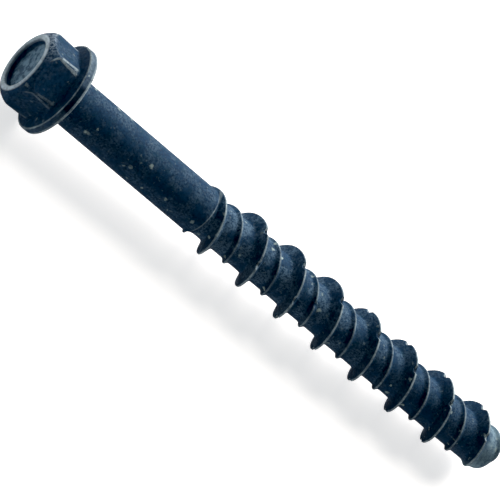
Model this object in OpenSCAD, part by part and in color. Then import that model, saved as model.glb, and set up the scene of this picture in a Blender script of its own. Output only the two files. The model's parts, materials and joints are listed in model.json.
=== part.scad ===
// Concrete screw: a large self-tapping anchor with a flanged hexagon head, a plain shank and a
// right-handed thread of one high ridge and one low ridge. The high ridge is notched all along.
// Millimetres. It lies on its flange rim and on one thread crest, +Z up, with the tip towards +X.

/* [Length] */
// From the bearing face under the flange to the end of the tip
length = 152.4; // [110:0.1:220]
// Plain shank, from the bearing face to its shoulder
shank_length = 48; // [30:0.1:70]
// Sloping run from the shoulder down to the thread root
shoulder_run = 2.4; // [1:0.1:5]

/* [Shank and thread] */
// Plain shank diameter
shank_d = 12.4; // [10:0.05:16]
// Diameter between the ridges
root_d = 10.75; // [8:0.05:14]
// Diameter over the high ridge
high_d = 16.85; // [13:0.05:20]
// Diameter over the low ridge
low_d = 12.45; // [11:0.05:15]
// Advance in one turn
lead = 13.5; // [8:0.01:18]
// Distance from the shoulder to the first full high crest
first_crest_gap = 6.6; // [3:0.1:15]
// Width of the high ridge at its foot
high_foot = 3.3; // [2:0.1:5]
// Width of the flat on the high ridge
high_flat = 0.45; // [0.3:0.05:1.5]
// Width of the low ridge at its foot
low_foot = 1.9; // [1:0.1:3]
// Width of the flat on the low ridge
low_flat = 0.5; // [0.2:0.05:1.2]
// Small raised lip where the low ridge starts at the shoulder
start_lip = 0.5; // [0:0.05:1]

/* [Notches] */
// Angle between the two notches of a pair, half the angle from one pair to the next
notch_step = 60.9; // [30:0.1:120]
// Turn of the first notch, counted from the first full crest
notch_first = 0.6; // [0:0.005:1]
// Turn where the notches start to come in pairs
pairs_from = 3; // [0:0.1:10]
// Depth of each notch
notch_depth = 0.9; // [0.3:0.05:2]

/* [Tip] */
// Length of the rounded end beyond the last root
tip_run = 2.5; // [1:0.1:6]
// Diameter of the flat on the end
tip_flat_d = 7.2; // [3:0.1:9]

/* [Head] */
// Height from the bearing face to the top
head_height = 12.4; // [8:0.05:16]
// Across the flats of the hexagon
across_flats = 18.3; // [14:0.05:24]
// Across the rounded corners near the top of the hexagon
across_corners = 20.85; // [15:0.05:27]
// Narrowing of the corners towards the flange
corner_draft = 0.75; // [0:0.05:2]
// Diameter of the highest ring, round the recess
crown_d = 15.2; // [12:0.1:18]
// Height over which the crown is domed
crown_round = 3.15; // [1:0.05:4.5]
// Floor of the recess in the top
recess_d = 13.1; // [8:0.1:13.4]
// Depth of the recess
recess_depth = 1.95; // [1:0.05:3]
// Rounding of the lip into the recess
lip_round = 0.7; // [0.2:0.05:0.8]
// Turn of the hexagon about the axis
hex_turn = -1.5; // [-30:0.5:30]

/* [Flange] */
// Flange diameter
flange_d = 24.6; // [18:0.1:32]
// Thickness of the flange at its rim
rim = 2.3; // [1:0.05:4]
// Rise of the flange from the rim up to the hexagon
flange_rise = 0.7; // [0:0.05:2]
// Chamfer on the rim's lower edge, half of it on the upper edge
rim_chamfer = 0.4; // [0.1:0.05:0.8]
// Small fillet under the head, drawn as a slope
neck_slope = 0.5; // [0.2:0.05:1.5]

/* [Rest] */
// Turn about the axis in which it lies: the thread angle that points straight down
roll = 55; // [0:1:359]

/* [Hidden] */
coat = [0.07, 0.14, 0.23];
$fa = 4;
$fs = 0.4;

shank_r = shank_d / 2;
root_r = root_d / 2;
high_r = high_d / 2;
low_r = low_d / 2;
flange_r = flange_d / 2;

// the faces of the threaded part: columns round the axis and rows along it
columns = 60;
thread_tuck = 5;
thread_from = shank_length - thread_tuck;
thread_to = length - tip_run;
first_crest = shank_length + first_crest_gap;
low_gap = lead / 2;
turn_lo = floor((thread_from - first_crest - low_gap - low_foot) / lead - roll / 360) - 1;
turn_hi = ceil((thread_to - first_crest + low_gap) / lead - roll / 360);
rows_a_turn = 9;
rows = rows_a_turn * (turn_hi - turn_lo + 1);

// the last turns, where the high ridge fades towards the tip
fade_end = (thread_to - first_crest) / lead + 0.05;
fade_start = fade_end - 0.45;

// how it lies: the rim and the last full crest straight below the axis both touch the floor
rest_turn = floor(fade_start - roll / 360) + roll / 360;
rest_at = first_crest + lead * rest_turn + high_flat / 2;
lie = atan((flange_r - high_r) / (rest_at + rim_chamfer));
lift = flange_r * cos(lie) - rim_chamfer * sin(lie);
x_head = -head_height * cos(lie) - crown_d / 2 * sin(lie);
x_tip = length * cos(lie) + tip_flat_d / 2 * sin(lie);
x_middle = (x_head + x_tip) / 2;

function ramp(x, a, b) = x <= a ? 0 : x >= b ? 1 : (x - a) / (b - a);

// notches sit on the nearest column, in pairs with every third place left out; the first turns have one or two
function notch_place(n) = let(wanted = notch_first + n * notch_step / 360)
    round((wanted - roll / 360) * columns) / columns + roll / 360;
function notch_there(n, turn) = n >= 0 && turn < fade_start + 0.1
    && (n % 6 == 0 || (n % 6 == 2 && n > 6) || (n % 3 != 1 && turn > pairs_from));
function notch_at(turn) = let(n = round((turn - notch_first) * 360 / notch_step))
    notch_there(n, turn) && abs(turn - notch_place(n)) < 0.2 / columns ? notch_depth : 0;

// crest radius of each ridge, by turns from the first full crest
function high_crest(turn) =
    root_r + 0.02 + (high_r - root_r - 0.02) * min(ramp(turn, -1, 0), 1 - ramp(turn, fade_start, fade_end))
    - notch_at(turn);
function low_crest(turn) =
    root_r + 0.02 + (low_r - root_r - 0.02) * ramp(turn, -1.25, -1.05)
    + start_lip * min(ramp(turn, -1.15, -1), 1 - ramp(turn, -1, -0.7));

// half the width of the high ridge at a radius
function high_half(r) = high_foot / 2 - (high_foot - high_flat) / 2 * (r - root_r) / (high_r - root_r);

// one axial line of the threaded part, as pairs of place and radius
function kept(p) = [min(max(p[0], thread_from), thread_to), p[0] <= thread_from || p[0] >= thread_to ? root_r : p[1]];
function axial_line(c) = [for (k = [turn_lo:turn_hi])
    let(turn = k + c / columns + roll / 360)
    let(s = first_crest + lead * turn)
    let(high = high_crest(turn))
    let(low = low_crest(turn))
    let(half = min(high_half(high), high_foot / 2 - 0.02))
    each [
        kept([s - 0.29 * lead, root_r]),
        kept([s - high_foot / 2, root_r]),
        kept([s - half, high]),
        kept([s + half, high]),
        kept([s + high_foot / 2, root_r]),
        kept([s + low_gap - low_foot / 2, root_r]),
        kept([s + low_gap - low_flat / 2, low]),
        kept([s + low_gap + low_flat / 2, low]),
        kept([s + low_gap + low_foot / 2, root_r])
    ]];

function round_axis(c, p) = let(a = 360 * c / columns) [p[1] * cos(a), p[1] * sin(a), p[0]];

// rings of the rounded end, after the last row
tip_rings = [
    [length - 0.42 * tip_run, root_r - 0.2 * (root_r - tip_flat_d / 2)],
    [length - 0.14 * tip_run, root_r - 0.52 * (root_r - tip_flat_d / 2)],
    [length, tip_flat_d / 2]
];

module threaded_part() {
    lines = [for (c = [0:columns - 1]) axial_line(c)];
    sides = [for (c = [0:columns - 1]) for (p = lines[c]) round_axis(c, p)];
    rings = [for (q = tip_rings) for (c = [0:columns - 1]) round_axis(c, q)];
    points = concat(sides, rings, [[0, 0, thread_from], [0, 0, length]]);
    ring_at = len(sides);
    hub_low = ring_at + len(rings);
    hub_tip = hub_low + 1;

    // the next column's row that carries on the same ridge
    function beside(c, j) = c < columns - 1 ? (c + 1) * rows + j : min(j + rows_a_turn, rows - 1);
    function good(t) = points[t[0]] != points[t[1]] && points[t[1]] != points[t[2]] && points[t[2]] != points[t[0]];

    walls = [for (c = [0:columns - 1]) for (j = [0:rows - 2])
        let(a = c * rows + j)
        let(b = beside(c, j))
        let(d = beside(c, j + 1))
        for (t = [[a, a + 1, d], [a, d, b]]) if (good(t)) t];
    collar = [for (c = [0:columns - 1])
        let(a = c * rows + rows - 1)
        let(b = ((c + 1) % columns) * rows + rows - 1)
        let(e = ring_at + c)
        let(f = ring_at + (c + 1) % columns)
        for (t = [[a, e, f], [a, f, b]]) t];
    nose = [for (k = [0:len(tip_rings) - 2]) for (c = [0:columns - 1])
        let(a = ring_at + k * columns + c)
        let(b = ring_at + k * columns + (c + 1) % columns)
        for (t = [[a, a + columns, b + columns], [a, b + columns, b]]) t];
    closing = [for (c = [0:columns - 1])
        let(last = ring_at + (len(tip_rings) - 1) * columns)
        for (t = [[hub_low, c * rows, ((c + 1) % columns) * rows],
                  [hub_tip, last + (c + 1) % columns, last + c]]) t];
    polyhedron(points, concat(walls, collar, nose, closing), convexity = 20);
}

module shank() {
    rotate_extrude() polygon([
        [0, -1],
        [shank_r + neck_slope, -1],
        [shank_r + neck_slope, 0],
        [shank_r, neck_slope],
        [shank_r, shank_length],
        [root_r - 0.4, shank_length + shoulder_run * (shank_r - root_r + 0.4) / (shank_r - root_r)],
        [0, shank_length + shoulder_run * (shank_r - root_r + 0.4) / (shank_r - root_r)]
    ]);
}

module flange() {
    rotate_extrude() polygon([
        [0, 0],
        [flange_r - rim_chamfer, 0],
        [flange_r, -rim_chamfer],
        [flange_r, -rim + rim_chamfer / 2],
        [flange_r - rim_chamfer / 2, -rim],
        [across_flats / 2 + 0.4, -rim - flange_rise],
        [across_flats / 2 - 0.6, -rim - flange_rise - 0.5],
        [0, -rim - flange_rise - 0.5]
    ]);
}

// rounded outline that the hexagon is forged within: tapered at the corners, sloped off at the crown
module head_outline() {
    crown_at = -head_height + crown_round;
    corner_r = across_corners / 2;
    steps = 8;
    crown = [for (i = [0:steps])
        let(t = 1 - pow(1 - i / steps, 1.5))
        [crown_d / 2 + (corner_r - crown_d / 2) * pow(1 - pow(t, 1.5), 0.75), crown_at - crown_round * t]];
    polygon(concat(
        [[0, -1], [corner_r - corner_draft / 2, -1]],
        crown,
        [[0, -head_height]]));
}

// recess in the top, from the highest ring over the rounded lip to the floor
module recess_outline() {
    lip_r = crown_d / 2 - 0.15;
    steps = 4;
    lip = [for (i = [0:steps])
        let(a = 90 * i / steps)
        [lip_r - lip_round * sin(a), -head_height + lip_round * (1 - cos(a))]];
    polygon(concat(
        [[0, -head_height - 1], [lip_r, -head_height - 1]],
        lip,
        [[recess_d / 2, -head_height + recess_depth], [0, -head_height + recess_depth]]));
}

module head() {
    difference() {
        union() {
            intersection() {
                rotate([0, 0, hex_turn]) translate([0, 0, -head_height - 1])
                    cylinder(d = across_flats / cos(30), h = head_height, $fn = 6);
                rotate_extrude() head_outline();
            }
            flange();
        }
        rotate_extrude() recess_outline();
    }
}

module screw() {
    color(coat)
    translate([-x_middle, 0, lift]) rotate([0, 90 + lie, 0]) union() {
        head();
        shank();
        threaded_part();
    }
}

screw();
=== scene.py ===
# %% [markdown]
# # A concrete screw
# This lesson dresses a steel anchor screw: a flanged hexagon head, a plain shank and a thread of
# one high and one low ridge, all in one piece under a dark blue coating. The imported solid is loaded
# first as a fixed frame. That solid is true in size but faceted, so a finer screw is modelled here and
# takes its place.

# %% Load the frame
import json
import math

import bpy
from mathutils import Matrix, Vector, noise


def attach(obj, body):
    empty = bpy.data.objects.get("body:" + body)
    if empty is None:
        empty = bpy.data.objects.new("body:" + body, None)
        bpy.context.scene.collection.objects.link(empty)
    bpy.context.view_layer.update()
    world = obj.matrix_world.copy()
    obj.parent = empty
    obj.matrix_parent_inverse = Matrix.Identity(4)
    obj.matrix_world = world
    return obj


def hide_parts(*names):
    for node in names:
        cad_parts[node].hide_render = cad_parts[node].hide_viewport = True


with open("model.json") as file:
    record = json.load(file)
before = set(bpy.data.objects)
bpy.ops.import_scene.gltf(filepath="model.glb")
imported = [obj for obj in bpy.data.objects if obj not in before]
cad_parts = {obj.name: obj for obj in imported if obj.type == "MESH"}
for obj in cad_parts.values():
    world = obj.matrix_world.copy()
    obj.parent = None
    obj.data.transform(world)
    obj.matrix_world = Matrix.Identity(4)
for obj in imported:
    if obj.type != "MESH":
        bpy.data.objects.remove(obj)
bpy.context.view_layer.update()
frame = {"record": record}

# %% [markdown]
# ## Sizes
# The screw is modelled upright in its own frame, with the bearing face at zero and the tip upwards,
# because spins and screw sweeps are easiest about the Z axis. At the end it is laid down on its
# flange and one thread crest. Where it lies isn't fitted by eye: the bearing face in the frame's
# record gives its place and the slope of its axis.

# %% Sizes in metres
MM = 0.001
LENGTH = 152.4 * MM
SHANK_R = 6.2 * MM
SHANK_END = 48.0 * MM
SHOULDER_RUN = 2.4 * MM
ROOT_R = 5.375 * MM
HIGH_R = 8.425 * MM
LOW_R = 6.225 * MM
LEAD = 13.5 * MM
FIRST_CREST = 54.6 * MM
TIP_RUN = 2.5 * MM
TIP_FLAT_R = 3.6 * MM
FLANGE_R = 12.3 * MM
RIM = 2.3 * MM
HEAD_TOP = 12.4 * MM
FLAT_R = 9.15 * MM
CORNER_R = 10.425 * MM
CORNER_DRAFT = 0.375 * MM
CROWN_R = 7.6 * MM
CROWN_RUN = 3.15 * MM
CROWN_RISE = 1.5
CROWN_FALL = 0.75
LIP_R = 7.45 * MM
LIP_ROUND = 0.7 * MM
RECESS_R = 6.55 * MM
RECESS_DEPTH = 1.95 * MM
HEX_TURN = math.radians(-1.5)
ROLL = 55 / 360
mounts = {mount["name"]: mount for mount in frame["record"]["mounts"]}
face_x, _, face_z = mounts["bearing_face"]["pos_m"]
axis_x, _, axis_z = mounts["bearing_face"]["axis"]
BEARING = Vector((face_x, 0, face_z))
LIE = math.atan2(-axis_z, axis_x)
LAID = (0, math.pi / 2 + LIE, 0)
print("length over all", round((LENGTH + HEAD_TOP) / MM, 1), "mm")
print("slope to the tip", round(math.degrees(LIE), 3), "degrees")

# %% [markdown]
# ## Small tools
# A profile is drawn as by hand: one vertex is placed and then extruded from point to point. A lathe
# spins the profile round the axis. Booleans join the forged forms, and each is applied at once.

# %% Small tools
ROUND_STEPS = 180
MERGE = 0.002 * MM


def deselect():
    if bpy.context.object and bpy.context.object.mode != "OBJECT":
        bpy.ops.object.mode_set(mode="OBJECT")
    bpy.ops.object.select_all(action="DESELECT")


def make_active(piece):
    deselect()
    piece.select_set(True)
    bpy.context.view_layer.objects.active = piece


def draw_profile(name, points):
    """A chain of edges through points given as radius and height."""
    deselect()
    bpy.ops.mesh.primitive_plane_add(size=MM)
    piece = bpy.context.object
    piece.name = name
    bpy.ops.object.mode_set(mode="EDIT")
    bpy.ops.mesh.merge(type="CENTER")
    before = Vector((points[0][0], 0, points[0][1]))
    bpy.ops.transform.translate(value=before)
    for radius, height in points[1:]:
        here = Vector((radius, 0, height))
        bpy.ops.mesh.extrude_region_move(TRANSFORM_OT_translate={"value": here - before})
        before = here
    bpy.ops.object.mode_set(mode="OBJECT")
    return piece


def tidy_mesh(piece):
    make_active(piece)
    bpy.ops.object.mode_set(mode="EDIT")
    bpy.ops.mesh.select_all(action="SELECT")
    bpy.ops.mesh.remove_doubles(threshold=MERGE)
    bpy.ops.mesh.normals_make_consistent(inside=False)
    bpy.ops.object.mode_set(mode="OBJECT")


def lathe(piece):
    make_active(piece)
    bpy.ops.object.mode_set(mode="EDIT")
    bpy.ops.mesh.select_all(action="SELECT")
    bpy.ops.mesh.spin(steps=ROUND_STEPS, angle=math.tau, center=(0, 0, 0), axis=(0, 0, 1))
    bpy.ops.object.mode_set(mode="OBJECT")
    tidy_mesh(piece)
    return piece


def combine(piece, tool, operation):
    make_active(piece)
    cut = piece.modifiers.new(operation.lower(), "BOOLEAN")
    cut.operation = operation
    cut.solver = "EXACT"
    cut.object = tool
    bpy.ops.object.modifier_apply(modifier=cut.name)
    bpy.data.objects.remove(tool)
    return piece


def arc(centre, radii, start, end, steps):
    """Points of an arc in the profile plane, by angles in degrees."""
    turns = [math.radians(start + (end - start) * i / steps) for i in range(steps + 1)]
    return [(centre[0] + radii[0] * math.cos(q), centre[1] + radii[1] * math.sin(q)) for q in turns]


# %% [markdown]
# ## The head
# The real head is struck in a die from round bar: a hexagon whose corners slope off at the crown and
# run a little narrower towards the flange. A bevel round its top would give straight chamfers. Here a
# six-sided cylinder is kept only where it lies inside a lathed dome, which leaves the arched flats of
# the real head, and a shallow dish is cut in the top.

# %% The hexagon inside its dome
SIXTH = math.pi / 6
CROWN_STEPS = 18
CROWN_CROWDING = 1.5
FLOOR_ROUND = 0.3 * MM
DOME_FOOT = -MM
OVERCUT = MM


def dome_profile():
    crown = []
    for i in range(CROWN_STEPS + 1):
        t = 1 - (1 - i / CROWN_STEPS) ** CROWN_CROWDING
        reach = CROWN_R + (CORNER_R - CROWN_R) * (1 - t ** CROWN_RISE) ** CROWN_FALL
        crown.append((reach, -HEAD_TOP + CROWN_RUN * (1 - t)))
    return [(0, DOME_FOOT), (CORNER_R - CORNER_DRAFT, DOME_FOOT)] + crown + [(0, -HEAD_TOP)]


def dish_profile():
    floor = -HEAD_TOP + RECESS_DEPTH
    wall = [(0, -HEAD_TOP - OVERCUT), (LIP_R, -HEAD_TOP - OVERCUT)]
    wall += arc((LIP_R, -HEAD_TOP + LIP_ROUND), (LIP_ROUND, LIP_ROUND), 270, 180, 8)
    wall += arc((RECESS_R - FLOOR_ROUND, floor - FLOOR_ROUND), (FLOOR_ROUND, FLOOR_ROUND), 0, 90, 5)
    return wall + [(0, floor)]


def make_head():
    deselect()
    bpy.ops.mesh.primitive_cylinder_add(vertices=6, radius=FLAT_R / math.cos(SIXTH), depth=HEAD_TOP,
                                        location=(0, 0, -HEAD_TOP / 2 - OVERCUT),
                                        rotation=(0, 0, HEX_TURN + SIXTH))
    hexagon = bpy.context.object
    hexagon.name = "head"
    bpy.ops.object.transform_apply(location=True, rotation=True, scale=True)
    combine(hexagon, lathe(draw_profile("dome", dome_profile())), "INTERSECT")
    combine(hexagon, lathe(draw_profile("dish", dish_profile())), "DIFFERENCE")
    return hexagon


head = make_head()
print("head faces", len(head.data.polygons))

# %% [markdown]
# ## Flange and shank
# The flange is a washer forged with the head: a thick rim and a gently sloping top that sweeps up
# into the hexagon. Stacked cylinders would leave a seam at every step. The flange and the plain shank
# are both round, so one profile from the flange top to the shoulder is lathed in one go, then joined
# to the hexagon. A fine bevel softens every struck edge.

# %% Flange and shank
UPPER_ROUND = 0.3 * MM
UPPER_FLATTENED = 0.8
LOWER_ROUND = 0.45 * MM
FLANGE_RISE = 0.7 * MM
SWEEP_RISE = 0.8 * MM
SWEEP_OUT = 0.9 * MM
SWEEP_WIDE = 1.0 * MM
NECK_ROUND = 0.5 * MM
SHOULDER_ROUND = (0.6 * MM, 0.5 * MM)
SHOULDER_BACK = 0.35 * MM
SHANK_RUNS = 12
SHANK_STOP = MM
UNDER_ROOT = 0.5 * MM
SOFT_WIDTH = 0.18 * MM
SOFT_STEPS = 3
SOFT_OVER = math.radians(24)


def flange_profile():
    sweep = -RIM - FLANGE_RISE - SWEEP_RISE
    upper = (UPPER_ROUND, UPPER_ROUND * UPPER_FLATTENED)
    profile = [(0, sweep), (FLAT_R - SWEEP_OUT, sweep)]
    profile += arc((FLAT_R + SWEEP_OUT, sweep), (SWEEP_WIDE, SWEEP_RISE), 180, 90, 6)
    profile += arc((FLANGE_R - upper[0], -RIM + upper[1]), upper, 270, 360, 4)
    profile += arc((FLANGE_R - LOWER_ROUND, -LOWER_ROUND), (LOWER_ROUND, LOWER_ROUND), 0, 90, 5)
    return profile


def shank_profile():
    profile = arc((SHANK_R + NECK_ROUND, NECK_ROUND), (NECK_ROUND, NECK_ROUND), 270, 180, 4)
    run = (SHANK_END - SHANK_STOP) / SHANK_RUNS
    profile += [(SHANK_R, NECK_ROUND + run * i) for i in range(1, SHANK_RUNS + 1)]
    profile += arc((SHANK_R - SHOULDER_ROUND[0], SHANK_END - SHOULDER_BACK), SHOULDER_ROUND, 0, 60, 4)[1:]
    under = ROOT_R - UNDER_ROOT
    end = SHANK_END + (SHANK_R - under) * SHOULDER_RUN / (SHANK_R - ROOT_R)
    return profile + [(under, end), (0, end)]


def make_flange_and_shank():
    return lathe(draw_profile("flange_and_shank", flange_profile() + shank_profile()))


screw = make_flange_and_shank()
combine(screw, head, "UNION")
make_active(screw)
soften = screw.modifiers.new("soften", "BEVEL")
soften.width = SOFT_WIDTH
soften.segments = SOFT_STEPS
soften.limit_method = "ANGLE"
soften.angle_limit = SOFT_OVER
bpy.ops.object.modifier_apply(modifier=soften.name)
print("head and shank faces", len(screw.data.polygons))

# %% [markdown]
# ## The thread
# Rolling dies press two ridges at once: a high cutting ridge and a low one half-way between its
# turns. They could be displaced out of a plain cylinder, but its rows of faces would cross the ridges
# at a slant. The Screw modifier sweeps one lead of the profile up the axis, so the rows follow the
# ridges, and turns that touch are merged into one skin. Blending curves keep the roots and the crests
# soft, as rolled steel is.

# %% One lead of the profile
def blend_high(a, b, k):
    return 0.5 * (a + b + math.sqrt((a - b) ** 2 + k * k))


def blend_low(a, b, k):
    return 0.5 * (a + b - math.sqrt((a - b) ** 2 + k * k))


def ridge(off, crest, foot_half, flat_half, soft_root, soft_crest):
    """Radius of one ridge at a distance along the axis from its middle."""
    steep = (crest - ROOT_R) / (foot_half - flat_half)
    flank = crest - (abs(off) - flat_half) * steep
    return blend_high(blend_low(flank, crest, soft_crest), ROOT_R, soft_root)


SOFTENED = 0.02 * MM
HIGH_FORM = {"foot_half": 1.65 * MM, "flat_half": 0.24 * MM, "soft_root": 0.45 * MM, "soft_crest": 0.1 * MM}
LOW_FORM = {"foot_half": 0.95 * MM, "flat_half": 0.22 * MM, "soft_root": 0.22 * MM, "soft_crest": 0.08 * MM}


def thread_radius(off):
    high = ridge(off, HIGH_R + SOFTENED, **HIGH_FORM)
    low = ridge(off - LEAD / 2, LOW_R + SOFTENED, **LOW_FORM)
    return max(high, low)


HALF_HIGH = [0.1, 0.2, 0.3, 0.42, 0.6, 0.8, 1.0, 1.2, 1.4, 1.6, 1.85, 2.2, 2.7]
HALF_LOW = [0.13, 0.26, 0.4, 0.6, 0.8, 1.0, 1.25]
high_rows = [-v for v in reversed(HALF_HIGH)] + [0] + HALF_HIGH
low_rows = [LEAD / MM / 2 + v for v in [-w for w in reversed(HALF_LOW)] + [0] + HALF_LOW]
ROOT_ROWS = [3.4, 4.1, 4.8]
rows = high_rows + ROOT_ROWS + low_rows + [LEAD / MM - v for v in reversed(ROOT_ROWS)]
TURN_LOW = -3
TURNS = 11
start = FIRST_CREST + LEAD * (TURN_LOW + ROLL)
lead_profile = [(thread_radius(off * MM), start + off * MM) for off in rows]
lead_profile.append((lead_profile[0][0], lead_profile[0][1] + LEAD))
print("rows in a lead", len(lead_profile))

# %% [markdown]
# The sweep is cut square at both ends. Its lower end will sit inside the shank, and a few more cuts
# near the tip give the rounded end its rows.

# %% Sweep the profile into a thread
NEAR = 0.001 * MM
TIP_SLICES = (0.15, 0.4, 0.75, 1.2, 1.7, 2.2)
BURIED = 5 * MM


def make_thread():
    thread = draw_profile("thread", lead_profile)
    make_active(thread)
    sweep = thread.modifiers.new("sweep", "SCREW")
    sweep.axis = "Z"
    sweep.angle = math.tau
    sweep.screw_offset = LEAD
    sweep.iterations = TURNS
    sweep.steps = ROUND_STEPS
    sweep.render_steps = ROUND_STEPS
    sweep.use_merge_vertices = True
    sweep.merge_threshold = NEAR
    bpy.ops.object.modifier_apply(modifier=sweep.name)
    tidy_mesh(thread)
    return thread


def slice_across(piece, height, outer=False, inner=False):
    make_active(piece)
    bpy.ops.object.mode_set(mode="EDIT")
    bpy.ops.mesh.select_all(action="SELECT")
    bpy.ops.mesh.bisect(plane_co=(0, 0, height), plane_no=(0, 0, 1), use_fill=outer or inner,
                        clear_outer=outer, clear_inner=inner, threshold=NEAR)
    bpy.ops.object.mode_set(mode="OBJECT")


thread = make_thread()
slice_across(thread, SHANK_END - BURIED, inner=True)
slice_across(thread, LENGTH, outer=True)
for back in TIP_SLICES:
    slice_across(thread, LENGTH - back * MM)
print("thread vertices", len(thread.data.vertices))

# %% [markdown]
# ## Run-outs, notches and tip
# Each vertex knows its turn along the ridge. The high ridge grows out of the shoulder over its first
# turn and fades over the last half turn. Notches are pressed into its crest in pairs, with every
# third place left out, and fewer and shallower ones in the first turns, and the end is rounded. Cuts
# with many small tools along a helix would be slow and leave slivers. All these forms are moves
# towards the axis, so they are worked out vertex by vertex.

# %% Notches and tip
FADE_OVERRUN = 0.05
FADE_TURNS = 0.45
FADE_END = (LENGTH - TIP_RUN - FIRST_CREST) / LEAD + FADE_OVERRUN
FADE_START = FADE_END - FADE_TURNS
LAST_NOTCH = FADE_START + 0.1
NOTCH_STEP = 60.9 / 360
NOTCH_FIRST = 0.6
NOTCH_DEPTH = 0.85 * MM
NOTCH_FLOOR_HALF = 3.25 / 360
NOTCH_MOUTH_HALF = 7.8 / 360
JOGS = (1, 7)
JOG_DEPTH = 0.65 * MM
PAIRS_FROM = 3
TIP_RISE = 3.2
TIP_FALL = 0.62


def ramp(x, a, b):
    return min(max((x - a) / (b - a), 0.0), 1.0)


def notch_depth(count, turn):
    if count < 0 or turn > LAST_NOTCH:
        return 0.0
    single = count % 6 == 0 or (count % 6 == 2 and count > 6)
    paired = count % 3 != 1 and turn > PAIRS_FROM
    if single or paired:
        return NOTCH_DEPTH
    return JOG_DEPTH if count in JOGS else 0.0


def notch_cut(turn):
    count = round((turn - NOTCH_FIRST) / NOTCH_STEP)
    away = abs(turn - NOTCH_FIRST - count * NOTCH_STEP)
    return notch_depth(count, turn) * (1 - ramp(away, NOTCH_FLOOR_HALF, NOTCH_MOUTH_HALF))


def tip_radius(height):
    rise = ramp(height, LENGTH - TIP_RUN, LENGTH)
    return TIP_FLAT_R + (ROOT_R - TIP_FLAT_R) * (1 - rise ** TIP_RISE) ** TIP_FALL


print("notches as deep as", round(NOTCH_DEPTH / MM, 2), "mm")

# %% [markdown]
# The low ridge has a lip where it starts and a small rolled seam. The crest of the high ridge is a
# little uneven. The union leaves hair-thin faces where the bevel meets the flange, and these are
# melted away, so that every edge has just two faces.

# %% Shape the ridges and join
AXIS_NEAR = 0.2 * MM
HIGH_REACH = 2.8 * MM
LOW_REACH = 1.6 * MM
HIGH_GROWS = (-1, 0)
LOW_GROWS = (-1.25, -1.05)
UNEVEN = 0.07 * MM
UNEVEN_PACE = 9
UNEVEN_LINE = (3.0, 1.0)
LIP = 0.5 * MM
LIP_RISES = (-1.15, -1)
LIP_FALLS = (-1, -0.7)
LOW_SEAM = 1.736
SEAM_DEPTH = 0.55
SEAM_HALF = 7 / 360
SLIVER = 0.004 * MM


def shape_point(point):
    radius = math.hypot(point.x, point.y)
    if radius < AXIS_NEAR:
        return point
    part = math.degrees(math.atan2(point.y, point.x)) / 360 + ROLL
    along = (point.z - FIRST_CREST) / LEAD - part
    turn = part + round(along)
    off = (along - round(along)) * LEAD
    low_turn = part + math.floor(along)
    low_off = (along - math.floor(along) - 0.5) * LEAD
    above = radius - ROOT_R
    if abs(off) < HIGH_REACH:
        grow = min(ramp(turn, *HIGH_GROWS), 1 - ramp(turn, FADE_START, FADE_END))
        radius = ROOT_R + above * grow
        uneven = UNEVEN * noise.noise(Vector((turn * UNEVEN_PACE, *UNEVEN_LINE)))
        radius = min(radius, HIGH_R - notch_cut(turn) + min(uneven, 0.0))
    elif abs(low_off) < LOW_REACH:
        grow = ramp(low_turn, *LOW_GROWS)
        lip = LIP * min(ramp(low_turn, *LIP_RISES), 1 - ramp(low_turn, *LIP_FALLS))
        seam = SEAM_DEPTH * max(0.0, 1 - abs(low_turn - LOW_SEAM) / SEAM_HALF)
        radius = ROOT_R + above * (grow + lip / (LOW_R - ROOT_R) - seam)
    if point.z > LENGTH - TIP_RUN:
        radius = radius - ROOT_R + tip_radius(point.z)
    scale = radius / math.hypot(point.x, point.y)
    return Vector((point.x * scale, point.y * scale, point.z))


def melt_slivers(piece):
    make_active(piece)
    bpy.ops.object.mode_set(mode="EDIT")
    bpy.ops.mesh.select_all(action="SELECT")
    bpy.ops.mesh.dissolve_degenerate(threshold=SLIVER)
    bpy.ops.mesh.normals_make_consistent(inside=False)
    bpy.ops.object.mode_set(mode="OBJECT")


for vertex in thread.data.vertices:
    vertex.co = shape_point(vertex.co)
tidy_mesh(thread)
combine(screw, thread, "UNION")
melt_slivers(screw)
print("screw faces", len(screw.data.polygons))

# %% [markdown]
# ## Lay it down
# The screw turns over on to its side and slopes to rest on the flange rim and a crest. Its roll is
# already in the start of the thread. The place goes into the mesh, so the object itself stays at the
# origin. Normals weighted by face area keep the forged flats flat beside their soft edges.

# %% Lay it down and shade it
SHARP_OVER = math.radians(40)
FACE_WEIGHT = 80
screw.name = "concrete_screw"
make_active(screw)
screw.rotation_euler = LAID
screw.location = BEARING
bpy.ops.object.transform_apply(location=True, rotation=True, scale=True)
bpy.ops.object.shade_smooth_by_angle(angle=SHARP_OVER)
weigh = screw.modifiers.new("weigh", "WEIGHTED_NORMAL")
weigh.keep_sharp = True
weigh.weight = FACE_WEIGHT
for modifier in list(screw.modifiers):
    bpy.ops.object.modifier_apply(modifier=modifier.name)
print("lowest point", round(min(v.co.z for v in screw.data.vertices) / MM, 3), "mm")

# %% [markdown]
# ## The coating
# The finish is a thin dark blue coating over steel. It is mottled, carries pale specks, and is worn
# to a light grey along crests and struck edges. A painted picture would need an unwrapped mesh and
# would blur close up, so the finish is worked out by nodes from each point's place. The groups below
# are built from a few helpers, and the first group turns object coordinates into the screw's own: how
# far along the axis, how far from it, and the angle round it, in millimetres and radians.

# %% Helpers for node groups
def add(tree, kind, x=0, y=0, **settings):
    node = tree.nodes.new(kind)
    node.location = (x, y)
    for name, value in settings.items():
        setattr(node, name, value)
    return node


def new_group(name, inputs, outputs):
    tree = bpy.data.node_groups.new(name, "ShaderNodeTree")
    for label, kind, value in inputs:
        socket = tree.interface.new_socket(label, in_out="INPUT", socket_type="NodeSocket" + kind)
        socket.default_value = value
    for label, kind in outputs:
        tree.interface.new_socket(label, in_out="OUTPUT", socket_type="NodeSocket" + kind)
    return tree, add(tree, "NodeGroupInput", -900).outputs, add(tree, "NodeGroupOutput", 900).inputs


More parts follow.
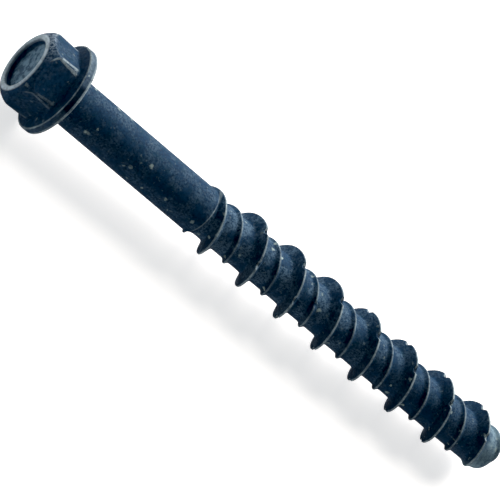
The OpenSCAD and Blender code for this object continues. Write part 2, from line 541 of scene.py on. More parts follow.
def plug(tree, value, socket):
    """A link when the value is a socket, otherwise a number on the socket itself."""
    if isinstance(value, bpy.types.NodeSocket):
        tree.links.new(value, socket)
    else:
        socket.default_value = value


def calc(tree, operation, *values, clamp=False):
    place = len(tree.nodes)
    node = add(tree, "ShaderNodeMath", -700 + 180 * (place % 9), -180 * (place // 9), operation=operation)
    node.use_clamp = clamp
    for value, socket in zip(values, node.inputs):
        plug(tree, value, socket)
    return node.outputs[0]


def smooth(tree, value, low, high):
    """One below the low bound and nought above the high one."""
    node = add(tree, "ShaderNodeMapRange", 300, -300, interpolation_type="SMOOTHSTEP")
    settings = {"Value": value, "From Min": low, "From Max": high, "To Min": 1.0, "To Max": 0.0}
    for name, given in settings.items():
        plug(tree, given, node.inputs[name])
    return node.outputs["Result"]


def use_group(tree, group, x=0, y=0, **values):
    node = add(tree, "ShaderNodeGroup", x, y)
    node.node_tree = group
    for name, value in values.items():
        plug(tree, value, node.inputs[name])
    return node.outputs


def noise_of(tree, place, scale, detail=2.0, rough=0.5):
    node = add(tree, "ShaderNodeTexNoise", -300, -500)
    plug(tree, place, node.inputs["Vector"])
    node.inputs["Scale"].default_value = scale
    node.inputs["Detail"].default_value = detail
    node.inputs["Roughness"].default_value = rough
    return node.outputs


# %% The screw's own coordinates
def make_place_group():
    outputs = [("Place", "Vector"), ("Along", "Float"), ("Radius", "Float"), ("Around", "Float")]
    tree, _, out = new_group("screw_place", [], outputs)
    coords = add(tree, "ShaderNodeTexCoord", -700)
    turn = add(tree, "ShaderNodeMapping", -500, vector_type="TEXTURE")
    turn.inputs["Location"].default_value = BEARING
    turn.inputs["Rotation"].default_value = LAID
    turn.inputs["Scale"].default_value = (MM, MM, MM)
    split = add(tree, "ShaderNodeSeparateXYZ", -300)
    tree.links.new(coords.outputs["Object"], turn.inputs["Vector"])
    tree.links.new(turn.outputs["Vector"], split.inputs["Vector"])
    x, y, z = split.outputs
    squares = calc(tree, "ADD", calc(tree, "MULTIPLY", x, x), calc(tree, "MULTIPLY", y, y))
    plug(tree, turn.outputs["Vector"], out["Place"])
    plug(tree, z, out["Along"])
    plug(tree, calc(tree, "SQRT", squares), out["Radius"])
    plug(tree, calc(tree, "ARCTAN2", y, x), out["Around"])
    return tree


place_group = make_place_group()
print("place group nodes", len(place_group.nodes))

# %% [markdown]
# A soft band is one along a line and fades out on both sides of it. Crests, rims and corners all use
# it, each with its own middle and width.

# %% Soft band
def make_band_group():
    inputs = [("Value", "Float", 0.0), ("Middle", "Float", 0.0)]
    inputs += [("Half", "Float", 0.2), ("Fade", "Float", 0.2)]
    tree, given, out = new_group("soft_band", inputs, [("Band", "Float")])
    away = calc(tree, "ABSOLUTE", calc(tree, "SUBTRACT", given["Value"], given["Middle"]))
    edge = calc(tree, "ADD", given["Half"], given["Fade"])
    plug(tree, smooth(tree, away, given["Half"], edge), out["Band"])
    return tree


band_group = make_band_group()
print("band group nodes", len(band_group.nodes))

# %% [markdown]
# ## Worn edges and painted shade
# Wear follows the forms, so it is drawn with masks: numbers from nought to one, worked out from a
# point's place on the screw. Some masks also paint light or shade on the surface. These helpers say
# in plain words what the node sums do.

# %% Mask helpers
def band(tree, value, middle, half, fade):
    return use_group(tree, band_group, Value=value, Middle=middle, Half=half, Fade=fade)["Band"]


def flip(tree, mask):
    return calc(tree, "SUBTRACT", 1.0, mask)


def beyond(tree, value, start, fade):
    """Nought up to the start, then rising to one over the fade."""
    return flip(tree, smooth(tree, value, start, start + fade))


def both(tree, *masks):
    total = masks[0]
    for mask in masks[1:]:
        total = calc(tree, "MULTIPLY", total, mask)
    return total


def either(tree, *masks):
    total = masks[0]
    for mask in masks[1:]:
        total = calc(tree, "MAXIMUM", total, mask)
    return total


def scaled(tree, mask, start, gain):
    """The start where the mask is nought, and the start plus the gain where it is one."""
    return calc(tree, "ADD", start, calc(tree, "MULTIPLY", mask, gain))


def facing(tree, around, angle):
    """One on that side of the screw and minus one on the opposite side."""
    return calc(tree, "COSINE", calc(tree, "SUBTRACT", around, angle))


def wear_and_painted_light_group(name, outputs):
    """A group that knows a point's place, with a ruffle that runs from minus to plus a half."""
    inputs = [(label, "Float", 0.0) for label in ("Along", "Radius", "Around", "Ruffle")]
    tree, given, out = new_group(name, inputs, [(label, "Float") for label in outputs])
    return tree, given, out, calc(tree, "SUBTRACT", given["Ruffle"], 0.5)


# %% [markdown]
# The ridges are found from the distance along the axis less the turn round it. Their crests are
# rubbed bright, most of all on one side, and pale lumps stand round the notches. Painted shade darkens
# the notch floors, and the flanks that look towards the head on the shaded side of the screw. A pair
# is where a mask starts, or its half width, and how far it fades. Three numbers are a band's middle,
# half width and fade. Bounds are where a mask begins and ends its fall from one to nought. All are in
# millimetres, but a side is a cosine, and what is worn is a share: one number, or the least share and
# what is added to it.

# %% Wear on the thread
SHOWN = math.radians(235)
# The shaded side of the screw, where painted shade darkens the flanks.
SHADED_SIDE = math.radians(250)
LEAD_MM = LEAD / MM
FULL_HEIGHT = (HIGH_R - ROOT_R) / MM
THREAD_STARTS = (SHANK_END / MM - 5, 3)
PAST_SHOULDER = (SHANK_END / MM + 1, 2)
HIGH_OUTSIDE = (6.6, 0.2)
LOW_OUTSIDE = (5.9, 0.25)
SHOWN_SIDE = (-0.5, 1.0)
SHOWN_WORN = (0.3, 0.7)
CREST_LINE = (0.14, 0.22)
CREST_BOUNDS = (0.12, 0.34)
CREST_RUFFLED = 0.5
LOW_LINE = (0.12, 0.24)
LOW_WORN = 0.6
NOTCH_FLOOR = (0.3, 0.14)
NOTCH_BELOW = (0.5, 0.25)
NOTCH_LUMPS = (0.2, 0.1)
LUMPS_DEEP = (0.5, 0.2, 0.15)
LUMPS_WORN = 0.9
HIGH_FLANK = (-1.0, 0.55, 0.5)
HIGH_FLANK_OUTSIDE = (5.6, 0.6)
LOW_FLANK = (-0.75, 0.35, 0.5)
LOW_FLANK_OUTSIDE = (5.3, 0.2)
SHADED_SIDE_BOUNDS = (0.2, 0.5)


def make_thread_wear_and_shade():
    tree, given, out, ruffle = wear_and_painted_light_group("thread_wear_and_shade", ("Wear", "PaintedShade", "FlankShade"))
    along, radius, around = given["Along"], given["Radius"], given["Around"]
    turn = calc(tree, "DIVIDE", calc(tree, "SUBTRACT", along, FIRST_CREST / MM), LEAD_MM)
    unwound = calc(tree, "SUBTRACT", turn, calc(tree, "DIVIDE", around, math.tau))
    part = calc(tree, "WRAP", calc(tree, "SUBTRACT", unwound, ROLL), 0.5, -0.5)
    low_part = calc(tree, "WRAP", calc(tree, "SUBTRACT", unwound, ROLL + 0.5), 0.5, -0.5)
    off_high = calc(tree, "MULTIPLY", calc(tree, "ABSOLUTE", part), LEAD_MM)
    off_low = calc(tree, "SUBTRACT", LEAD_MM / 2, off_high)

    grown = calc(tree, "ADD", turn, 1.0, clamp=True)
    to_go = calc(tree, "SUBTRACT", FADE_END, turn)
    faded = calc(tree, "DIVIDE", to_go, FADE_END - FADE_START, clamp=True)
    height = calc(tree, "MULTIPLY", calc(tree, "MINIMUM", grown, faded), FULL_HEIGHT)
    below = calc(tree, "SUBTRACT", calc(tree, "ADD", height, ROOT_R / MM), radius)
    wavy = calc(tree, "ADD", below, calc(tree, "MULTIPLY", ruffle, CREST_RUFFLED))

    on_thread = beyond(tree, along, *THREAD_STARTS)
    past_shoulder = beyond(tree, along, *PAST_SHOULDER)
    on_ridge = beyond(tree, radius, *HIGH_OUTSIDE)
    shown = scaled(tree, beyond(tree, facing(tree, around, SHOWN), *SHOWN_SIDE), *SHOWN_WORN)
    crest = band(tree, off_high, 0.0, *CREST_LINE)
    high = both(tree, crest, smooth(tree, wavy, *CREST_BOUNDS), on_thread, shown)
    low_crest = both(tree, band(tree, off_low, 0.0, *LOW_LINE), beyond(tree, radius, *LOW_OUTSIDE))
    low = both(tree, low_crest, past_shoulder, LOW_WORN)
    # Painted shade: the notch floors are darkened, where shade falls in the notches.
    notch_shade = both(tree, band(tree, off_high, 0.0, *NOTCH_FLOOR), beyond(tree, below, *NOTCH_BELOW))
    lumps = both(tree, band(tree, off_high, 0.0, *NOTCH_LUMPS), band(tree, below, *LUMPS_DEEP))
    lumps = both(tree, lumps, on_thread, on_ridge, LUMPS_WORN)
    plug(tree, either(tree, high, low, lumps), out["Wear"])
    plug(tree, both(tree, notch_shade, on_thread, on_ridge), out["PaintedShade"])

    # Painted shade: the flanks that face the head are darkened on the shaded lower front of the screw.
    high_flank_shade = band(tree, calc(tree, "MULTIPLY", part, LEAD_MM), *HIGH_FLANK)
    high_flank_shade = both(tree, high_flank_shade, beyond(tree, radius, *HIGH_FLANK_OUTSIDE))
    low_flank_shade = band(tree, calc(tree, "MULTIPLY", low_part, LEAD_MM), *LOW_FLANK)
    low_flank_shade = both(tree, low_flank_shade, beyond(tree, radius, *LOW_FLANK_OUTSIDE))
    shaded_side = beyond(tree, facing(tree, around, SHADED_SIDE), *SHADED_SIDE_BOUNDS)
    plug(tree, both(tree, either(tree, high_flank_shade, low_flank_shade), shaded_side, past_shoulder), out["FlankShade"])
    return tree


thread_wear_and_shade = make_thread_wear_and_shade()
print("thread wear nodes", len(thread_wear_and_shade.nodes))

# %% [markdown]
# The hexagon's edges lie where its flats meet the dome, so the wear there needs the dome's own curve.
# Each corner is a narrow leaf between two edges, bright at its flange end. The crown has a rubbed
# ring with a thin line round the recess, and its rounded edge is paler on the lit upper side, partly
# rubbing and partly painted light. The recess floor is a mask of its own.

# %% Wear on the head
# The lit upper side of the screw; paler marks that favour it are partly painted light.
LIT_SIDE = math.radians(140)
STRUCK = math.radians(170)
CROWN_AT = (-HEAD_TOP + CROWN_RUN) / MM
TOP_AT = -HEAD_TOP / MM
FLANGE_TOP = -RIM / MM
HEXAGON_BOUNDS = (FLANGE_TOP - 1.6, FLANGE_TOP - 0.9)
DOME_BOUNDS = (CROWN_AT + 0.2, CROWN_AT + 0.9)
CROWN_BOUNDS = (TOP_AT + 0.7, TOP_AT + 1.1)
STRUCK_SIDE = (0.3, 0.5)
STRUCK_WORN = (0.25, 0.75)
CORNER_ZONE = (0.26, 0.14)
CORNER_LINE = (0.08, 0.15)
CORNER_RUFFLED = 0.35
ONE_SIDE_BOUNDS = (-0.05, 0.05)
OTHER_SIDE_WORN = (1.0, -0.85)
BROKEN = (0.42, 0.16)
LEAF_WITHIN = (0.05, 0.1)
LEAF_END = (FLANGE_TOP - 1.9, 0.45, 0.4)
LEAF_WORN = 0.5
LIT_SIDE_BOUNDS = (0.5, 0.4)
RUB_OUTSIDE = (7.4, 0.3)
RUB_BOUNDS = (CROWN_AT - 2.4, CROWN_AT - 0.4)
RUB_AND_LIGHT_SHARE = 0.36
CROWN_RING = (7.5, 0.45, 0.5)
RECESS_LINE = (7.3, 0.12, 0.25)
RECESS_LINE_WORN = 0.95
DISH_DEPTH_BOUNDS = (TOP_AT + 2.1, TOP_AT + 2.4)
DISH_WIDTH_BOUNDS = (6.1, 6.65)


def dome_radius(tree, along):
    up = calc(tree, "DIVIDE", calc(tree, "SUBTRACT", CROWN_AT, along), CROWN_RUN / MM, clamp=True)
    left = calc(tree, "POWER", flip(tree, calc(tree, "POWER", up, CROWN_RISE)), CROWN_FALL)
    drop = calc(tree, "MULTIPLY", flip(tree, left), (CORNER_R - CROWN_R) / MM)
    below = calc(tree, "SUBTRACT", along, CROWN_AT)
    down = calc(tree, "DIVIDE", below, DOME_FOOT / MM - CROWN_AT, clamp=True)
    draft = calc(tree, "MULTIPLY", down, CORNER_DRAFT / MM)
    return calc(tree, "SUBTRACT", CORNER_R / MM, calc(tree, "ADD", drop, draft))


def make_head_wear_and_light():
    tree, given, out, ruffle = wear_and_painted_light_group("head_wear_and_light", ("Wear", "Ring", "Dish"))
    along, radius, around = given["Along"], given["Radius"], given["Around"]
    across = calc(tree, "WRAP", calc(tree, "SUBTRACT", around, HEX_TURN + SIXTH), SIXTH, -SIXTH)
    reach = calc(tree, "MULTIPLY", radius, calc(tree, "COSINE", across))
    to_flat = calc(tree, "SUBTRACT", FLAT_R / MM, reach)
    to_dome = calc(tree, "SUBTRACT", dome_radius(tree, along), radius)
    to_edge = calc(tree, "ADD", calc(tree, "ABSOLUTE", to_flat), calc(tree, "ABSOLUTE", to_dome))
    to_edge = calc(tree, "ADD", to_edge, calc(tree, "MULTIPLY", ruffle, CORNER_RUFFLED))

    on_hexagon = smooth(tree, along, *HEXAGON_BOUNDS)
    near_corner = beyond(tree, calc(tree, "ABSOLUTE", across), *CORNER_ZONE)
    struck = scaled(tree, beyond(tree, facing(tree, around, STRUCK), *STRUCK_SIDE), *STRUCK_WORN)
    on_corner = both(tree, near_corner, on_hexagon, struck)
    other_side = scaled(tree, smooth(tree, along, *DOME_BOUNDS), *OTHER_SIDE_WORN)
    one_side = either(tree, smooth(tree, across, *ONE_SIDE_BOUNDS), other_side)
    corner = both(tree, band(tree, to_edge, 0.0, *CORNER_LINE), on_corner, one_side)
    broken = beyond(tree, given["Ruffle"], *BROKEN)
    leaf_end = band(tree, calc(tree, "ADD", along, ruffle), *LEAF_END)
    leaf = both(tree, beyond(tree, to_flat, *LEAF_WITHIN), on_corner, leaf_end, broken, LEAF_WORN)

    on_crown = smooth(tree, along, *CROWN_BOUNDS)
    # Painted light: the crown's rounded edge is paler on the lit upper side, over a real rub.
    lit_side = beyond(tree, facing(tree, around, LIT_SIDE), *LIT_SIDE_BOUNDS)
    dome_rub_and_light = both(tree, smooth(tree, along, *RUB_BOUNDS), beyond(tree, radius, *RUB_OUTSIDE))
    dome_rub_and_light = both(tree, dome_rub_and_light, lit_side, broken, RUB_AND_LIGHT_SHARE)
    ring = both(tree, band(tree, radius, *CROWN_RING), on_crown)
    ring_line = both(tree, band(tree, radius, *RECESS_LINE), on_crown, RECESS_LINE_WORN)
    in_dish = smooth(tree, along, *DISH_DEPTH_BOUNDS)
    in_dish = both(tree, in_dish, smooth(tree, radius, *DISH_WIDTH_BOUNDS))
    plug(tree, either(tree, corner, leaf, ring_line), out["Wear"])
    plug(tree, either(tree, ring, dome_rub_and_light), out["Ring"])
    plug(tree, in_dish, out["Dish"])
    return tree


head_wear_and_light = make_head_wear_and_light()
print("head wear nodes", len(head_wear_and_light.nodes))

# %% [markdown]
# The flange's rim is bright along both edges and dull between. Its side is paler towards the lit upper
# side, partly wear and partly painted light, and a patch of painted shade darkens the middle of the rim
# at the front. The shoulder has a thin pale line, and the tip is pale all over.

# %% Wear on the rim, the shoulder and the tip
RIM_SHADE_SIDE = math.radians(212)
RIM_SHADE_BOUNDS = (0.94, 0.03)
RIM_SHADE_BAND = (-1.45, 0.5, 0.3)
RIM_OUTSIDE = (11.7, 0.25)
RIM_STARTS = (FLANGE_TOP - 0.1, 0.1)
RIM_BOUNDS = (0.2, 0.4)
RIM_LIT_SIDE = (0.3, 0.7)
RIM_WEAR_AND_LIGHT = 0.27
UPPER_EDGE = (FLANGE_TOP + 0.04, 0.04, 0.1)
LOWER_EDGE = (-0.3, 0.3, 0.25)
SHOULDER_LINE = (SHANK_END / MM, 0.12, 0.3)
SHOULDER_OUTSIDE = (5.8, 0.2)
SHOULDER_WORN = 0.7
PALE_TIP = (LENGTH / MM - 6.0, 2.4)


def make_rim_wear_light_and_shade():
    tree, given, out, ruffle = wear_and_painted_light_group("rim_tip_wear_light_and_shade", ("Wear", "PaintedShade", "Tip"))
    along, radius, around = given["Along"], given["Radius"], given["Around"]
    on_rim = beyond(tree, radius, *RIM_OUTSIDE)
    edges = either(tree, band(tree, along, *UPPER_EDGE), band(tree, along, *LOWER_EDGE))
    rim_shade_side_mask = beyond(tree, facing(tree, around, RIM_SHADE_SIDE), *RIM_SHADE_BOUNDS)
    # Painted light: the rim's side is paler towards the lit upper side, over its wear.
    lit_side_rub = scaled(tree, beyond(tree, facing(tree, around, LIT_SIDE), *LIT_SIDE_BOUNDS), *RIM_LIT_SIDE)
    rim_side = both(tree, smooth(tree, along, *RIM_BOUNDS), beyond(tree, along, *RIM_STARTS))
    rim_side = both(tree, on_rim, rim_side, lit_side_rub, flip(tree, rim_shade_side_mask), RIM_WEAR_AND_LIGHT)
    shoulder = both(tree, band(tree, along, *SHOULDER_LINE), beyond(tree, radius, *SHOULDER_OUTSIDE))
    shoulder = both(tree, shoulder, SHOULDER_WORN)
    # Painted shade: a dark patch in the middle of the rim at the front, between its bright edges.
    rim_front_shade = both(tree, on_rim, rim_shade_side_mask, band(tree, calc(tree, "ADD", along, ruffle), *RIM_SHADE_BAND))
    plug(tree, either(tree, both(tree, edges, on_rim), rim_side, shoulder), out["Wear"])
    plug(tree, rim_front_shade, out["PaintedShade"])
    plug(tree, beyond(tree, along, *PALE_TIP), out["Tip"])
    return tree


rim_wear_light_and_shade = make_rim_wear_light_and_shade()
print("rim and tip wear nodes", len(rim_wear_light_and_shade.nodes))

# %% [markdown]
# ## Specks
# The coating carries small pale specks. Pieces scattered on the surface would cost many faces, so the
# specks are cells of a Voronoi pattern: only a share of the cells is used, and each has a size of its
# own. The place is stirred a little first, so that the specks are uneven.

# %% Specks
STIR_SCALE = 1.7
STIR_REACH = 1.1
SIZE_SPREAD = (0.4, 0.6)
STRENGTH_SPREAD = (0.35, 0.65)
SOLID_CORE = 0.35


def make_speck_group():
    inputs = [("Place", "Vector", (0, 0, 0)), ("Scale", "Float", 0.5)]
    inputs += [("Share", "Float", 0.3), ("Size", "Float", 0.2)]
    tree, given, out = new_group("pale_specks", inputs, [("Speck", "Float")])
    stir = noise_of(tree, given["Place"], STIR_SCALE)["Color"]
    moved = add(tree, "ShaderNodeVectorMath", -500, -300, operation="MULTIPLY_ADD")
    plug(tree, stir, moved.inputs[0])
    moved.inputs[1].default_value = (STIR_REACH, STIR_REACH, STIR_REACH)
    plug(tree, given["Place"], moved.inputs[2])
    cells = add(tree, "ShaderNodeTexVoronoi", -300, -300)
    plug(tree, moved.outputs["Vector"], cells.inputs["Vector"])
    plug(tree, given["Scale"], cells.inputs["Scale"])
    dice = add(tree, "ShaderNodeSeparateColor", -100, -300)
    plug(tree, cells.outputs["Color"], dice.inputs["Color"])
    size = calc(tree, "MULTIPLY", given["Size"], scaled(tree, dice.outputs["Green"], *SIZE_SPREAD))
    dot = smooth(tree, cells.outputs["Distance"], calc(tree, "MULTIPLY", size, SOLID_CORE), size)
    used = calc(tree, "LESS_THAN", dice.outputs["Red"], given["Share"])
    strength = scaled(tree, dice.outputs["Blue"], *STRENGTH_SPREAD)
    plug(tree, both(tree, dot, used, strength), out["Speck"])
    return tree


speck_group = make_speck_group()
print("speck group nodes", len(speck_group.nodes))

# %% [markdown]
# ## The material
# One even colour would look like plastic, so the colour is built up in coats, as paint is. The first
# is a mottled navy from two sizes of noise, with a tint of teal in places.

# %% Mottled navy
NAVY_DEEP = (0.006, 0.024, 0.058, 1)
NAVY_LIGHT = (0.014, 0.05, 0.112, 1)
TEAL = (0.008, 0.045, 0.075, 1)
BROAD = {"scale": 0.3, "detail": 3.0, "rough": 0.6}
FINE = {"scale": 1.3, "detail": 4.0, "rough": 0.7}
TINT = {"scale": 0.55, "detail": 2.0}
BROAD_SHARE = 0.35
FINE_SHARE = 0.65
LIGHT_BOUNDS = (0.4, 0.62)
TEAL_BOUNDS = (0.5, 0.72)
TEAL_SHARE = 0.4


def mix_colour(tree, factor, first, second):
    node = add(tree, "ShaderNodeMix", 500, 200, data_type="RGBA")
    plug(tree, factor, node.inputs["Factor"])
    plug(tree, first, node.inputs[6])
    plug(tree, second, node.inputs[7])
    return node.outputs[2]


coating = bpy.data.materials.new("blue_coating")
coating.use_nodes = True
tree = coating.node_tree
shader = tree.nodes["Principled BSDF"]
here = use_group(tree, place_group, -1200, 0)
along = here["Along"]
broad = noise_of(tree, here["Place"], **BROAD)["Fac"]
fine = noise_of(tree, here["Place"], **FINE)["Fac"]
broad_part = calc(tree, "MULTIPLY", broad, BROAD_SHARE)
mottle = calc(tree, "ADD", broad_part, calc(tree, "MULTIPLY", fine, FINE_SHARE))
colour = mix_colour(tree, flip(tree, smooth(tree, mottle, *LIGHT_BOUNDS)), NAVY_DEEP, NAVY_LIGHT)
tint = flip(tree, smooth(tree, noise_of(tree, here["Place"], **TINT)["Fac"], *TEAL_BOUNDS))
colour = mix_colour(tree, calc(tree, "MULTIPLY", tint, TEAL_SHARE), colour, TEAL)
print("nodes of the navy coat", len(tree.nodes))

# %% [markdown]
# A pale haze lies over the navy in small streaks and patches. Its noise is laid on the unrolled
# surface, so that it follows the screw round. There is most of it on the first turns of the thread,
# less on the shank and towards the tip, and least on the head.

# %% Haze
HAZE = (0.088, 0.16, 0.245, 1)
AROUND_MM = 6.0
STREAK = {"scale": 1.9, "detail": 3.0, "rough": 0.7}
STREAK_BOUNDS = (0.32, 0.68)
PATCH_BOUNDS = (0.4, 0.62)
PATCH_HAZE = (0.15, 0.85)
THREAD_BOUNDS = (80.0, 130.0)
THREAD_HAZE = (0.6, 0.82)
SHANK_BOUNDS = (44.0, 52.0)
SHANK_CLEARER = 0.75
LOWER_BOUNDS = (-0.2, 0.6)
LOWER_HAZE = (1.0, -0.1)
HEAD_BOUNDS = (-2.6, -2.2)
HEAD_HAZE = (1.0, -0.4)

round_it = add(tree, "ShaderNodeCombineXYZ", -900, -300)
plug(tree, along, round_it.inputs["X"])
plug(tree, calc(tree, "MULTIPLY", here["Around"], AROUND_MM), round_it.inputs["Y"])
plug(tree, here["Radius"], round_it.inputs["Z"])
streak = noise_of(tree, round_it.outputs["Vector"], **STREAK)["Fac"]
patches = scaled(tree, smooth(tree, broad, *PATCH_BOUNDS), *PATCH_HAZE)
tipward = scaled(tree, smooth(tree, along, *THREAD_BOUNDS), *THREAD_HAZE)
clearer = calc(tree, "MULTIPLY", smooth(tree, along, *SHANK_BOUNDS), SHANK_CLEARER)
amount = calc(tree, "SUBTRACT", tipward, clearer)
# Painted shade: the haze is a tenth thinner on the lower, shaded side, so that side is darker.
shaded_lower_side = smooth(tree, facing(tree, here["Around"], LIT_SIDE), *LOWER_BOUNDS)
on_head = smooth(tree, along, *HEAD_BOUNDS)
amount = both(tree, amount, scaled(tree, shaded_lower_side, *LOWER_HAZE), scaled(tree, on_head, *HEAD_HAZE))
haze = both(tree, smooth(tree, streak, *STREAK_BOUNDS), patches, amount)
colour = mix_colour(tree, haze, colour, HAZE)
print("nodes with the haze", len(tree.nodes))

# %% [markdown]
# The wear groups come next. The recess floor, the crown's ring and the tip are patchy and pale, and
# painted shade darkens the flanks that face the head and the notch floors.

# %% Recess, ring, flanks, tip and notches
DISH = (0.18, 0.3, 0.41, 1)
RING = (0.55, 0.68, 0.78, 1)
FLANK_SHADE = (0.002, 0.008, 0.018, 1)
TIP = (0.2, 0.31, 0.385, 1)
# The colour of the painted shade in the notches and on the rim.
PAINTED_SHADE = (0.001, 0.003, 0.006, 1)
PATCHY = {"scale": 0.7, "detail": 3.0, "rough": 0.6}
PATCHY_BOUNDS = (0.4, 0.6)
PATCHY_SHARE = (0.25, 0.7)
RING_SHARE = (0.5, 0.5)
FLANK_SHADE_SHARE = 0.45
GRAIN_BOUNDS = (0.38, 0.6)
GRAIN_SHARE = 0.45
TIP_SHARE = (0.2, 0.5)
PAINTED_SHADE_SHARE = 0.7


def place_wear_and_shade(group, y):
    return use_group(tree, group, -900, y, Along=along, Radius=here["Radius"], Around=here["Around"],
                     Ruffle=fine)


on_thread = place_wear_and_shade(thread_wear_and_shade, 300)
on_hexagon = place_wear_and_shade(head_wear_and_light, 500)
on_rim = place_wear_and_shade(rim_wear_light_and_shade, 700)
patchy = smooth(tree, noise_of(tree, here["Place"], **PATCHY)["Fac"], *PATCHY_BOUNDS)
patchy = scaled(tree, patchy, *PATCHY_SHARE)
colour = mix_colour(tree, both(tree, on_hexagon["Dish"], patchy), colour, DISH)
ring = both(tree, on_hexagon["Ring"], scaled(tree, patchy, *RING_SHARE))
colour = mix_colour(tree, ring, colour, RING)
# Painted shade darkens the flanks that face the head.
colour = mix_colour(tree, both(tree, on_thread["FlankShade"], FLANK_SHADE_SHARE), colour, FLANK_SHADE)
grain = calc(tree, "MULTIPLY", smooth(tree, fine, *GRAIN_BOUNDS), GRAIN_SHARE)
pale_tip = calc(tree, "ADD", grain, scaled(tree, patchy, *TIP_SHARE))
colour = mix_colour(tree, both(tree, on_rim["Tip"], pale_tip), colour, TIP)
# Painted shade in the notch floors and on the front of the rim.
painted_shades = either(tree, on_thread["PaintedShade"], on_rim["PaintedShade"])
colour = mix_colour(tree, both(tree, painted_shades, PAINTED_SHADE_SHARE), colour, PAINTED_SHADE)
print("nodes with the patches", len(tree.nodes))

# %% [markdown]
# Specks and bare edges lie over everything else. The specks are fainter on the head, and the bare
# edges are broken by the fine noise, as rubbed paint is.

# %% Specks and bare edges
SPECK = (0.44, 0.57, 0.56, 1)
BARE = (0.41, 0.52, 0.57, 1)
LARGE = {"Scale": 0.42, "Share": 0.44, "Size": 0.32}
SMALL = {"Scale": 0.95, "Share": 0.35, "Size": 0.4}
SMALL_SHARE = 0.22
HEAD_SPECKS = (1.0, -0.5)
SPECK_SHARE = 0.85
GAP_BOUNDS = (0.4, 0.58)
GAP_SHARE = 0.75
UNBROKEN = 1.25
SPARED_BOUNDS = (0.42, 0.58)
SPARED_SHARE = (0.6, 0.4)
BARE_SHARE = 0.9

large = use_group(tree, speck_group, -600, -300, Place=here["Place"], **LARGE)["Speck"]
small = use_group(tree, speck_group, -600, -600, Place=here["Place"], **SMALL)["Speck"]
specks = either(tree, large, calc(tree, "MULTIPLY", small, SMALL_SHARE))
specks = both(tree, specks, scaled(tree, on_head, *HEAD_SPECKS))
colour = mix_colour(tree, calc(tree, "MULTIPLY", specks, SPECK_SHARE), colour, SPECK)
worn = either(tree, on_thread["Wear"], on_hexagon["Wear"], on_rim["Wear"])
gaps = calc(tree, "MULTIPLY", smooth(tree, fine, *GAP_BOUNDS), GAP_SHARE)
broken = calc(tree, "SUBTRACT", UNBROKEN, gaps, clamp=True)
spared = scaled(tree, smooth(tree, broad, *SPARED_BOUNDS), *SPARED_SHARE)
colour = mix_colour(tree, both(tree, worn, broken, spared, BARE_SHARE), colour, BARE)
print("nodes with specks and bare edges", len(tree.nodes))

# %% [markdown]
# The shader takes the finished colour. The coating is dull, so its gloss is low, and a small bump
# follows the fine noise and the specks.

# %% The shader
ROUGHNESS = (0.5, 0.2)
GLOSS = 0.03
BUMP_STRENGTH = 0.35
BUMP_HEIGHT = 0.06 * MM
SPECK_HEIGHT = 0.6

plug(tree, colour, shader.inputs["Base Color"])
plug(tree, scaled(tree, fine, *ROUGHNESS), shader.inputs["Roughness"])
shader.inputs["Specular IOR Level"].default_value = GLOSS
bump = add(tree, "ShaderNodeBump", -200, -700)
bump.inputs["Strength"].default_value = BUMP_STRENGTH
bump.inputs["Distance"].default_value = BUMP_HEIGHT
raised = calc(tree, "ADD", fine, calc(tree, "MULTIPLY", specks, SPECK_HEIGHT))
plug(tree, raised, bump.inputs["Height"])
plug(tree, bump.outputs["Normal"], shader.inputs["Normal"])
screw.data.materials.clear()
screw.data.materials.append(coating)
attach(screw, "root")
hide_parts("screw")
print("material nodes", len(tree.nodes))

# %% [markdown]
# ## Floor
# A wide pale floor carries the screw and its soft shadow. Stronger lamps would make it white, but they
# would wash out the coating too. Instead the floor glows a little, and more for the camera alone.

# %% Floor
FLOOR_SIZE = 6
PAPER = (0.8, 0.8, 0.8, 1)
PAPER_ROUGH = 0.9
WHITE = (1, 1, 1, 1)
GLOW = (0.19, 0.5)

deselect()
bpy.ops.mesh.primitive_plane_add(size=FLOOR_SIZE)
floor = bpy.context.object
floor.name = "floor"
paper = bpy.data.materials.new("pale_floor")
paper.use_nodes = True
paper_shader = paper.node_tree.nodes["Principled BSDF"]
paper_shader.inputs["Base Color"].default_value = PAPER
paper_shader.inputs["Emission Color"].default_value = WHITE
seen = add(paper.node_tree, "ShaderNodeLightPath", -500, 0)
glow = scaled(paper.node_tree, seen.outputs["Is Camera Ray"], *GLOW)
plug(paper.node_tree, glow, paper_shader.inputs["Emission Strength"])
paper_shader.inputs["Roughness"].default_value = PAPER_ROUGH
floor.data.materials.append(paper)
print("floor", FLOOR_SIZE, "m wide")

# %% [markdown]
# ## Camera
# The camera stands far off with a long lens, on the head's side, and is rolled so that the screw runs
# down to the right. It could be aimed by trial. Here it is worked out from what the picture has to
# show: the pixel where the middle of the bearing face lies, how steeply the axis runs down the
# picture, and how far it tilts away from the viewer. Three directions of the screw are written as the
# viewer sees them and as the frame has them, and the step from one to the other turns the camera.

# %% Camera
SENSOR = 36
FOCAL_PX = 4500
IMAGE_PX = 500
TILT = math.radians(26.2638)
DOWNHILL = math.radians(40.231)
BEARING_PX = (61.25, 92.85)
DISTANCE = 1063.3 * MM

level = math.cos(TILT)
axis_seen = Vector((level * math.cos(DOWNHILL), level * math.sin(DOWNHILL), math.sin(TILT)))
low_seen = Vector((-math.sin(DOWNHILL), math.cos(DOWNHILL), 0))
front_seen = low_seen.cross(axis_seen)
axis_world = Vector((math.cos(LIE), 0, -math.sin(LIE)))
up_world = Vector((math.sin(LIE), 0, math.cos(LIE)))
side_world = Vector((0, 1, 0))
roll_angle = ROLL * math.tau
low_world = -math.cos(roll_angle) * up_world - math.sin(roll_angle) * side_world
front_world = low_world.cross(axis_world)


def seen_to_world(v):
    return v.dot(axis_seen) * axis_world + v.dot(low_seen) * low_world + v.dot(front_seen) * front_world


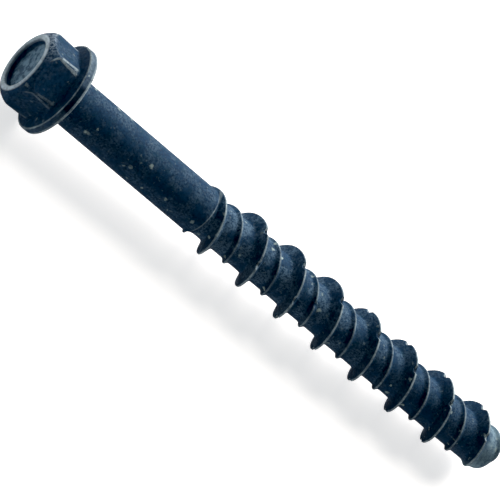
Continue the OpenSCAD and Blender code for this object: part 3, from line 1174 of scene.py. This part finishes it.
right = seen_to_world(Vector((1, 0, 0)))
down = seen_to_world(Vector((0, 1, 0)))
away = seen_to_world(Vector((0, 0, 1)))
shift = [(p - IMAGE_PX / 2) / FOCAL_PX * DISTANCE for p in BEARING_PX]
bpy.ops.object.camera_add()
camera = bpy.context.object
camera.matrix_world = Matrix((right, -down, -away)).transposed().to_4x4()
camera.location = BEARING - right * shift[0] - down * shift[1] - away * DISTANCE
camera.data.sensor_width = SENSOR
camera.data.lens = FOCAL_PX * SENSOR / IMAGE_PX
bpy.context.scene.camera = camera
print("camera at", [round(v, 3) for v in camera.location])

# %% [markdown]
# ## Light
# Small lamps would put hard glints on so dull a coating. One broad soft lamp stands at the upper right
# of the picture instead, and a weak bluish one fills in from the head's side. A faint sky lifts the
# shaded side, and a black level a little above nought keeps the darks deep.

# %% Lights
KEY_TIPWARD = 0.25
KEY_FORWARD = 0.05
FILL_UPWARD = 0.4
KEY_COLOUR = (1, 0.93, 0.87)
FILL_COLOUR = (0.75, 0.9, 1)
WORLD_COLOUR = (0.8, 0.92, 1, 1)
WORLD_STRENGTH = 0.085
BLACK_LEVEL = 0.006


def area_light(name, towards, distance, size, power, colour):
    direction = towards.normalized()
    bpy.ops.object.light_add(type="AREA", location=direction * distance)
    lamp = bpy.context.object
    lamp.name = name
    lamp.rotation_euler = direction.to_track_quat("Z", "Y").to_euler()
    lamp.data.shape = "DISK"
    lamp.data.size = size
    lamp.data.energy = power
    lamp.data.color = colour
    return lamp


key_from = -low_world + front_world * KEY_FORWARD + axis_world * KEY_TIPWARD
fill_from = -axis_world - low_world * FILL_UPWARD
key = area_light("key", key_from, distance=1.2, size=1.2, power=33, colour=KEY_COLOUR)
fill = area_light("fill", fill_from, distance=1.4, size=0.8, power=0.7, colour=FILL_COLOUR)
world = bpy.data.worlds.new("studio")
world.use_nodes = True
world.node_tree.nodes["Background"].inputs["Color"].default_value = WORLD_COLOUR
world.node_tree.nodes["Background"].inputs["Strength"].default_value = WORLD_STRENGTH
bpy.context.scene.world = world
view = bpy.context.scene.view_settings
view.view_transform = "Standard"
view.use_curve_mapping = True
view.curve_mapping.black_level = (BLACK_LEVEL, BLACK_LEVEL, BLACK_LEVEL)
view.curve_mapping.update()
print("lights", key.name, key.data.energy, "W and", fill.name, round(fill.data.energy, 2), "W")

# %% [markdown]
# ## Finish
# At the end nothing is left selected.

# %% Finish
deselect()
